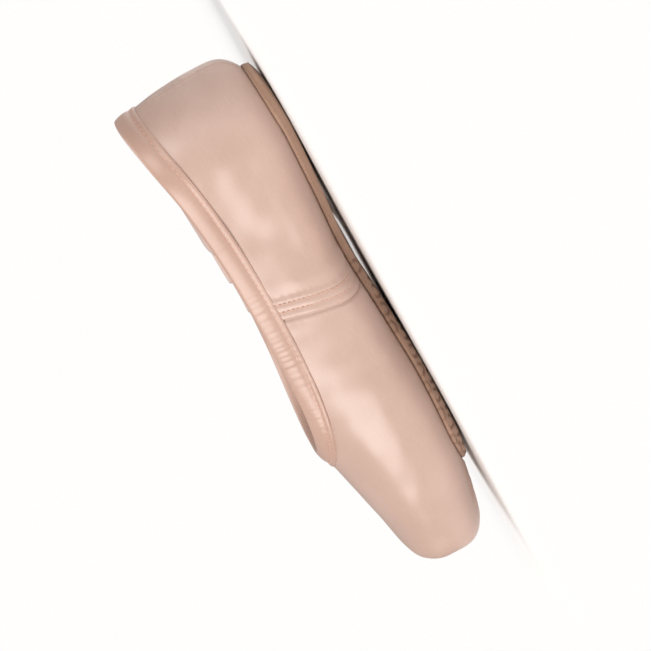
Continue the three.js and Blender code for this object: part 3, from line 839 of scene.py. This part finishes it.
SEAM_Z = np.arange(10.5, 41.5, 0.05)
for side, side_name in ((1, "left"), (-1, "right")):
    for number, row in enumerate(STITCH_ROWS):
        at = SEAM_FOOT - SEAM_LEAN * SEAM_Z - row * math.hypot(1, SEAM_LEAN)
        line = on_side(at, SEAM_Z, side)
        length = np.concatenate([[0], np.cumsum(np.linalg.norm(np.diff(line, axis=0), axis=1))])
        wanted = np.arange(0.4, length[-1], STITCH + STITCH_GAP)
        places = np.stack([np.interp(wanted, length, line[:, k]) for k in range(3)], 1)
        ahead = np.stack([np.interp(wanted + 0.5, length, line[:, k]) for k in range(3)], 1)
        normals = outward(places)
        lift = relief(places) + 0.12
        sew(
            f"seam_stitches_{side_name}_{number + 1}", places + normals * lift[:, None],
            ahead - places, normals, STITCH, THREAD,
        )


# ---- Collar binding ------------------------------------------------------------------------
# A bias strip of the same satin folded over the collar's edge, round a drawstring that fills
# it out, and stitched through near its lower edge. It gathers a little along the sides.
# Rows of the section: depth below the collar's edge, and distance from the wall.
BINDING_OUTSIDE = [
    (8.6, -0.6), (8.6, 0.36), (8.2, 0.6), (7.5, 0.68), (6.9, 0.6), (6.4, 0.42), (6, 0.5),
    (5.4, 0.82), (4.5, 1.08), (3.4, 1.22), (2.2, 1.28), (1.1, 1.26), (0.2, 1.16),
]
BINDING_INSIDE = [
    (0.2, 1.1), (1.2, 1.12), (2.4, 1.05), (3.8, 0.85), (5, 0.66), (6, 0.6), (6.5, 0.5), (6.6, 0.1),
]
BINDING_OVER = [(1.0, 0.55), (0.6, 0.92), (0.1, 1.12)]  # distance out from the wall, and up
GATHER = 2.6
BINDING_STITCH_DEPTH = 6.4
BINDING_STEP = 0.62

edges = np.concatenate([outer[:, -1], outer[:1, -1]])
edge_length = np.linalg.norm(np.diff(edges, axis=0), axis=1).sum()
edges = evenly(edges, np.linspace(0, 1, round(edge_length / BINDING_STEP) + 1)[:-1])
edge_normal = outward(edges)
edge_run = unit(np.roll(edges, -1, axis=0) - np.roll(edges, 1, axis=0))
edge_up = unit(np.cross(edge_run, edge_normal))
edge_centre = inside_at(edges[:, 1])
edge_at = np.concatenate([[0], np.cumsum(np.linalg.norm(np.diff(
    np.concatenate([edges, edges[:1]]), axis=0), axis=1))])
on_sides = smoothstep(LENGTH / 2 - edges[:, 1], 24, 60)
on_sides = on_sides * (1 - 0.6 * smoothstep(LENGTH / 2 - edges[:, 1], 120, 160))
edge_run_at = edge_at[:-1]
gathers = np.sin(edge_run_at * 2 * math.pi / GATHER + 2.2 * np.sin(edge_run_at / 4.7))
gathers = gathers + 0.6 * np.sin(edge_run_at * 2 * math.pi / (GATHER * 1.7) + 1.3)
gathers = gathers * on_sides * (0.5 + 0.5 * np.sin(edge_run_at / 11) * np.sin(edge_run_at / 7.3))


def by_edge(depth, distance, inside=False):
    """Points a depth below the collar's edge and a distance off the wall, at each column."""
    direction = unit(edges - edge_up * depth - edge_centre)
    p = cast(edge_centre, direction)
    out = np.asarray(distance) * np.ones(len(edges))
    if inside:
        out = -wall_at(p[:, 1]) - out
    return p + outward(p) * out[:, None]


def over_edge(distance, height, inside=False):
    return by_edge(0, distance, inside) + edge_up * height


section = []
for depth, distance in BINDING_OUTSIDE:
    fullness = smoothstep(distance, 0.4, 1.0)
    section.append(by_edge(depth, distance + 0.1 * gathers * (0.4 + 0.6 * fullness)))
section += [over_edge(d, h) for d, h in BINDING_OVER]
section += [over_edge(d, h, True) for d, h in BINDING_OVER[::-1]]
section += [by_edge(depth, distance, True) for depth, distance in BINDING_INSIDE]
section += [by_edge(3, 0.08, True), over_edge(0.05, 0.1, True), over_edge(0.05, 0.1)]
section += [by_edge(4, 0.08)]
binding_loops = np.stack(section, 1)
closed = np.concatenate([binding_loops, binding_loops[:, :1]], axis=1)
round_section = np.concatenate([
    np.zeros((len(closed), 1)), np.cumsum(np.linalg.norm(np.diff(closed, axis=1), axis=2), axis=1),
], axis=1)
round_section = np.concatenate([round_section, round_section[:1]])
binding_uv = np.stack([
    round_section, np.broadcast_to(edge_at[:, None], round_section.shape),
], 2) / 1000

# The binding's threads run across it, so its shine breaks up where the shoe's runs on. It is the
# shoe's satin made darker: painted shade for the band along the collar.
binding_satin = woven_satin("binding_satin", "C09E8F", "B79383", 0.38, 0.1, 0.3, 0.35, 4)

binding = skin("bound_collar", binding_loops, binding_uv, [binding_satin], loop=True)
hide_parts("collar_binding")
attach(binding, "root")

seat = by_edge(BINDING_STITCH_DEPTH, 0.5)
seat = np.concatenate([seat, seat[:1]])
length = np.concatenate([[0], np.cumsum(np.linalg.norm(np.diff(seat, axis=0), axis=1))])
count = round(length[-1] / 2.6)
wanted = (np.arange(count) + 0.5) * length[-1] / count
places = np.stack([np.interp(wanted, length, seat[:, k]) for k in range(3)], 1)
ahead = np.stack([np.interp(wanted + 0.4, length, seat[:, k]) for k in range(3)], 1)
sew("binding_stitches", places, ahead - places, outward(places), 1.7, 0.42)


# ---- Outsole -------------------------------------------------------------------------------
# A plate of split leather with a bare shank and heel. It is stuck on over the gathered edge
# and pressed with rows of small half rings under the forefoot, so that it grips the floor.
SOLE_THICKNESS = 2.9
SOLE_EDGE = 1.5
PARING_STARTS = 0.8
TREAD_FROM = 96
TREAD_PITCH = 7.0
TREAD_ACROSS = 7.8
TREAD_LEAN = math.radians(52)
TREAD_RADIUS = 2.5
TREAD_STRETCH = 1.3
TREAD_GROOVE = 0.95
TREAD_DEPTH = 0.55
TREAD_MARGIN = -4.5  # below 0, so that marks run off the edge
RIM_BULGE = 1.006
TIP = 0.035  # radians of an end's curve left out at its very tip, which is closed flat


def plate_stations(heel, heel_depth, toe, toe_depth, half_at, step):
    """Distances from the heel, and half widths, of a plate's cross sections."""
    ats, halves = plate_outline(heel, heel_depth, toe, toe_depth, half_at)
    turn = np.linspace(TIP, math.pi / 2, 26)
    back = heel + heel_depth * (1 - np.cos(turn))
    middle = np.arange(heel + heel_depth, toe - toe_depth, step)[1:]
    front = toe - toe_depth * (1 - np.sin(math.pi / 2 - turn[::-1]))
    dense = np.arange(toe - toe_depth, toe - 2, step)
    stations = np.unique(np.concatenate([back, middle, dense, front]))
    return stations, np.interp(stations, ats, halves)


def plate(name, stations, halves, columns, top, bottom, materials):
    """A thin plate: each section runs along its lower face and home along its upper face."""
    across = np.sin(np.linspace(-1, 1, columns) * math.pi / 2 * 0.96)
    across = 0.35 * across / across[-1] + 0.65 * np.linspace(-1, 1, columns)
    x = halves[:, None] * across
    y = np.broadcast_to((LENGTH / 2 - stations)[:, None], x.shape)
    share = np.broadcast_to(np.abs(across), x.shape)
    high, low = top(x, y), bottom(x, y, share)
    rim = halves[:, None] * np.full(2, RIM_BULGE)
    third = (high[:, -1:] - low[:, -1:]) / 3
    edge_z = low[:, -1:] + third * (1, 2)
    right_rim = np.stack([rim, y[:, :2], edge_z], 2)
    left_rim = np.stack([-rim, y[:, :2], edge_z[:, ::-1]], 2)
    sections = np.concatenate([
        np.stack([x, y, low], 2), right_rim, np.stack([x, y, high], 2)[:, ::-1], left_rim,
    ], axis=1)
    ring = np.concatenate([sections, sections[:, :1]], axis=1)
    uv = np.stack([ring[..., 0], ring[..., 1]], 2) / 1000
    return skin(name, sections, uv, materials)


def tread(x, y):
    """Depth of the pressed half rings, all turned the same way, in staggered rows."""
    at = LENGTH / 2 - y
    row = np.round((at - TREAD_FROM - 3) / TREAD_PITCH)
    total = np.zeros_like(x)
    for offset in (-1, 0, 1):
        this_row = row + offset
        shift = 0.5 * (this_row % 2)
        column = np.round(x / TREAD_ACROSS - shift)
        middle_x = (column + shift) * TREAD_ACROSS
        middle_at = TREAD_FROM + 3 + this_row * TREAD_PITCH
        dx, dy = x - middle_x, at - middle_at
        dx, dy = (
            dx * math.cos(TREAD_LEAN) + dy * math.sin(TREAD_LEAN),
            (dy * math.cos(TREAD_LEAN) - dx * math.sin(TREAD_LEAN)) / TREAD_STRETCH,
        )
        ring = np.abs(np.hypot(dx, dy) - TREAD_RADIUS)
        arms = 1 - smoothstep(-dy, 1.2, 2.0)
        inside_edge = along(SOLE, 1, middle_at) - np.abs(middle_x) > TREAD_MARGIN + TREAD_RADIUS
        ends = (middle_at > TREAD_FROM) & (middle_at < SOLE_TOE + TREAD_RADIUS)
        mark = (1 - smoothstep(ring, TREAD_GROOVE * 0.35, TREAD_GROOVE)) * arms
        total = np.maximum(total, mark * inside_edge * ends)
    return total


def sole_top(x, y):
    return underside(x, y) - GAP


def sole_bottom(x, y, share):
    paring = smoothstep(share, PARING_STARTS, 1)
    thickness = SOLE_THICKNESS + (SOLE_EDGE - SOLE_THICKNESS) * paring
    plain = np.maximum(0, underside(x, y) - GAP - thickness)
    return plain + TREAD_DEPTH * tread(x, y) * (1 - smoothstep(share, 0.93, 1))


# Split leather, tan and matt, brushed so that its nap drifts in tone. The pressed marks get
# painted shade in their grooves, and the cut edge a painted shadow where it meets the satin.
sole_leather = bpy.data.materials.new("sole_leather")
sole_leather.use_nodes = True
tree = sole_leather.node_tree
place = add_node(tree, "TexCoord", {}).outputs["Object"]
mottle = add_node(tree, "TexNoise", {"Vector": place, "Scale": 70.0, "Detail": 5.0})
grain = add_node(tree, "TexNoise", {"Vector": place, "Scale": 900.0, "Detail": 3.0})
hide = add_node(
    tree, "Mix", {0: mottle.outputs[0], 6: colour("C4A48F"), 7: colour("AE8B76")},
    data_type="RGBA",
)
# Painted shade in the tread's grooves and a painted shadow along the sole's edge, mixed over the
# leather.
painted_groove_and_edge_shade = add_node(tree, "Attribute", {}, attribute_name="painted_groove_and_edge_shade")
leather_with_painted_shade = add_node(
    tree, "Mix", {0: painted_groove_and_edge_shade.outputs["Fac"], 6: hide.outputs[2], 7: colour("8A6857")},
    data_type="RGBA",
)
speckle = add_node(
    tree, "MapRange",
    {"Value": grain.outputs[0], "From Min": 0.3, "From Max": 0.7, "To Min": 0.93, "To Max": 1.05},
)
leather_tone = add_node(
    tree, "Mix", {0: 1.0, 6: leather_with_painted_shade.outputs[2], 7: speckle.outputs[0]},
    data_type="RGBA", blend_type="MULTIPLY",
)
nap = add_node(tree, "Bump", {"Height": grain.outputs[0], "Distance": 0.0002, "Strength": 0.35})
add_node(tree, tree.nodes["Principled BSDF"], {
    "Base Color": leather_tone.outputs[2], "Roughness": 0.74, "Normal": nap.outputs[0],
    "Specular IOR Level": 0.35, "Sheen Weight": 0.1,
})

stations, halves = plate_stations(
    SOLE_HEEL, SOLE_HEEL_DEPTH, SOLE_TOE, SOLE_TOE_DEPTH, lambda at: along(SOLE, 1, at), 0.55,
)
outsole = plate(
    "leather_outsole", stations, halves, 96, sole_top, sole_bottom, [sole_leather],
)
count = len(outsole.data.vertices)
where = np.empty(count * 3)
outsole.data.vertices.foreach_get("co", where)
where = where.reshape(-1, 3) * 1000
width_here = np.interp(LENGTH / 2 - where[:, 1], stations, halves)
# Painted shade in the tread's grooves, and a painted shadow along the cut edge.
painted_groove_and_edge_shade_values = tread(where[:, 0], where[:, 1]) * 0.75
painted_groove_and_edge_shade_values = np.maximum(painted_groove_and_edge_shade_values, 0.3 * smoothstep(np.abs(where[:, 0]) / width_here, 0.985, 1.0))
attribute = outsole.data.attributes.new("painted_groove_and_edge_shade", "FLOAT", "POINT")
attribute.data.foreach_set("value", painted_groove_and_edge_shade_values)
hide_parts("outsole")
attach(outsole, "root")


# ---- Insole --------------------------------------------------------------------------------
# Cotton over the stiffening board, laid on the turned-in edge of the upper.
INSOLE_HEEL = 7
INSOLE_TOE = 200
INSOLE_SHARE = 0.74
INSOLE_THICKNESS = 1.5
STEEPEST = 0.5


def insole_rest(x, y):
    p = np.stack([x, y, underside(x, y)], -1)
    return p[..., 2] + (wall_at(y) + GAP) / np.maximum(STEEPEST, -outward(p)[..., 2])


def insole_top(x, y):
    ends = norm(
        np.abs(x) / (along(LAST, HALF, LENGTH / 2 - y) * INSOLE_SHARE),
        0 * x, 2,
    )
    return insole_rest(x, y) + INSOLE_THICKNESS - 0.7 * smoothstep(ends, 0.9, 1)


stations, halves = plate_stations(
    INSOLE_HEEL, HEEL_DEPTH - INSOLE_HEEL, INSOLE_TOE, SOLE_TOE_DEPTH,
    lambda at: along(LAST, HALF, at) * INSOLE_SHARE, 2.5,
)
insole = plate(
    "cotton_insole", stations, halves, 36, insole_top, lambda x, y, share: insole_rest(x, y),
    [lining_cotton],
)
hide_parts("insole")
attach(insole, "root")


# ---- Floor and light -----------------------------------------------------------------------
# A plain white floor that runs on to a white surround, a large soft key from above the toe's
# left, a weaker one behind the heel and an even fill.
FLOOR_SIZE = 60

bpy.ops.object.select_all(action="DESELECT")
bpy.ops.mesh.primitive_plane_add(size=FLOOR_SIZE, location=(0, 0, 0))
floor = bpy.context.object
floor.name = "floor"
# Matt white paper.
paper = bpy.data.materials.new("white_paper")
paper.use_nodes = True
add_node(paper.node_tree, paper.node_tree.nodes["Principled BSDF"], {
    "Base Color": colour("F6F6F6"), "Roughness": 1.0, "Specular IOR Level": 0.0,
})
floor.data.materials.append(paper)

world = bpy.data.worlds.new("surround")
bpy.context.scene.world = world
world.use_nodes = True
tree = world.node_tree
seen = add_node(tree, "LightPath", {}).outputs["Is Camera Ray"]
strength = add_node(
    tree, "MapRange", {"Value": seen, "To Min": 0.3, "To Max": 1.0},
)
add_node(tree, tree.nodes["Background"], {
    "Color": colour("FFFEFD"), "Strength": strength.outputs[0],
})

# Each light: where it shines from, strength, how wide it looks in degrees, and colour.
LIGHTS = {
    "key": ((0.75, -0.4, 0.42), 2.0, 40, "FFFAF5"),
    "heel_side": ((0.62, 0.55, 0.33), 0.9, 32, "FFFAF5"),
    "top": ((-0.3, 0.1, 1.0), 1.35, 50, "FFFFFF"),
}
for name, (source, power, width, tint) in LIGHTS.items():
    bpy.ops.object.light_add(type="SUN", location=Vector(source) * 2)
    light = bpy.context.object
    light.name = name + "_light"
    light.rotation_euler = Vector(source).to_track_quat("Z", "Y").to_euler()
    light.data.energy = power
    light.data.angle = math.radians(width)
    light.data.color = colour(tint)[:3]
bpy.context.scene.view_settings.view_transform = "Standard"
